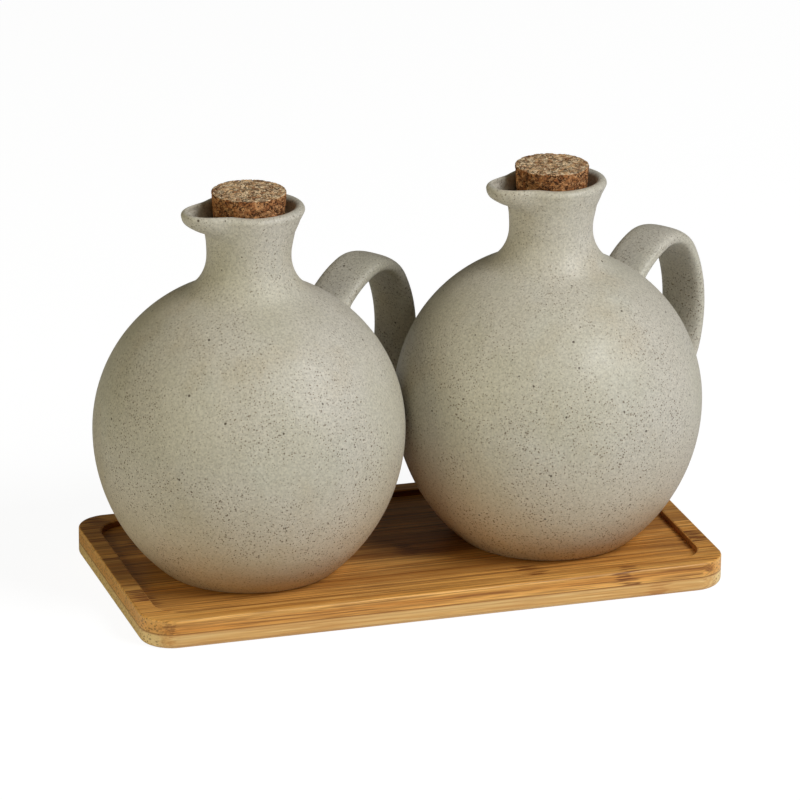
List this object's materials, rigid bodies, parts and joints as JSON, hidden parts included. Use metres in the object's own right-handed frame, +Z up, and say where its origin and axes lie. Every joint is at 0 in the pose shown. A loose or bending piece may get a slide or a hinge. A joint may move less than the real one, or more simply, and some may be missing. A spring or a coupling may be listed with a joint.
{
  "type": "cruet set",
  "caption": "Oil and vinegar cruet set: round-bellied stoneware jugs with pouring spouts, strap handles and cork stoppers, standing on a recessed rectangular bamboo tray.",
  "frame": {"origin": "centre of the tray's underside", "axes": "+X along the tray's long side from the left jug towards the right one, +Y away from the tray's front, +Z up"},
  "size_m": [0.2253, 0.1049, 0.1364],
  "materials": {
    "stoneware": "matte",
    "cork": "matte",
    "bamboo_top": "satin",
    "bamboo_base": "satin"
  },
  "bodies": {
    "tray": {"tray_base_strip_1": "bamboo_base", "tray_base_strip_2": "bamboo_base", "tray_base_strip_3": "bamboo_base", "tray_base_strip_4": "bamboo_base", "tray_base_strip_5": "bamboo_base", "tray_base_strip_6": "bamboo_base", "tray_top_strip_1": "bamboo_top", "tray_top_strip_2": "bamboo_top", "tray_top_strip_3": "bamboo_top", "tray_top_strip_4": "bamboo_top", "tray_top_strip_5": "bamboo_top"},
    "left_jug": {"left_jug_body": "stoneware", "left_jug_handle": "stoneware"},
    "left_stopper": {"left_cork": "cork"},
    "right_jug": {"right_jug_body": "stoneware", "right_jug_handle": "stoneware"},
    "right_stopper": {"right_cork": "cork"}
  },
  "joints": [
    {"name": "left_jug_lift", "type": "slide", "parent": "tray", "child": "left_jug", "axis": [0, 0, 1], "range_m": [0, 0.14]},
    {"name": "left_cork_pull", "type": "slide", "parent": "left_jug", "child": "left_stopper", "axis": [0, 0, 1], "range_m": [0, 0.04]},
    {"name": "right_jug_lift", "type": "slide", "parent": "tray", "child": "right_jug", "axis": [0, 0, 1], "range_m": [0, 0.14]},
    {"name": "right_cork_pull", "type": "slide", "parent": "right_jug", "child": "right_stopper", "axis": [0, 0, 1], "range_m": [0, 0.04]}
  ]
}
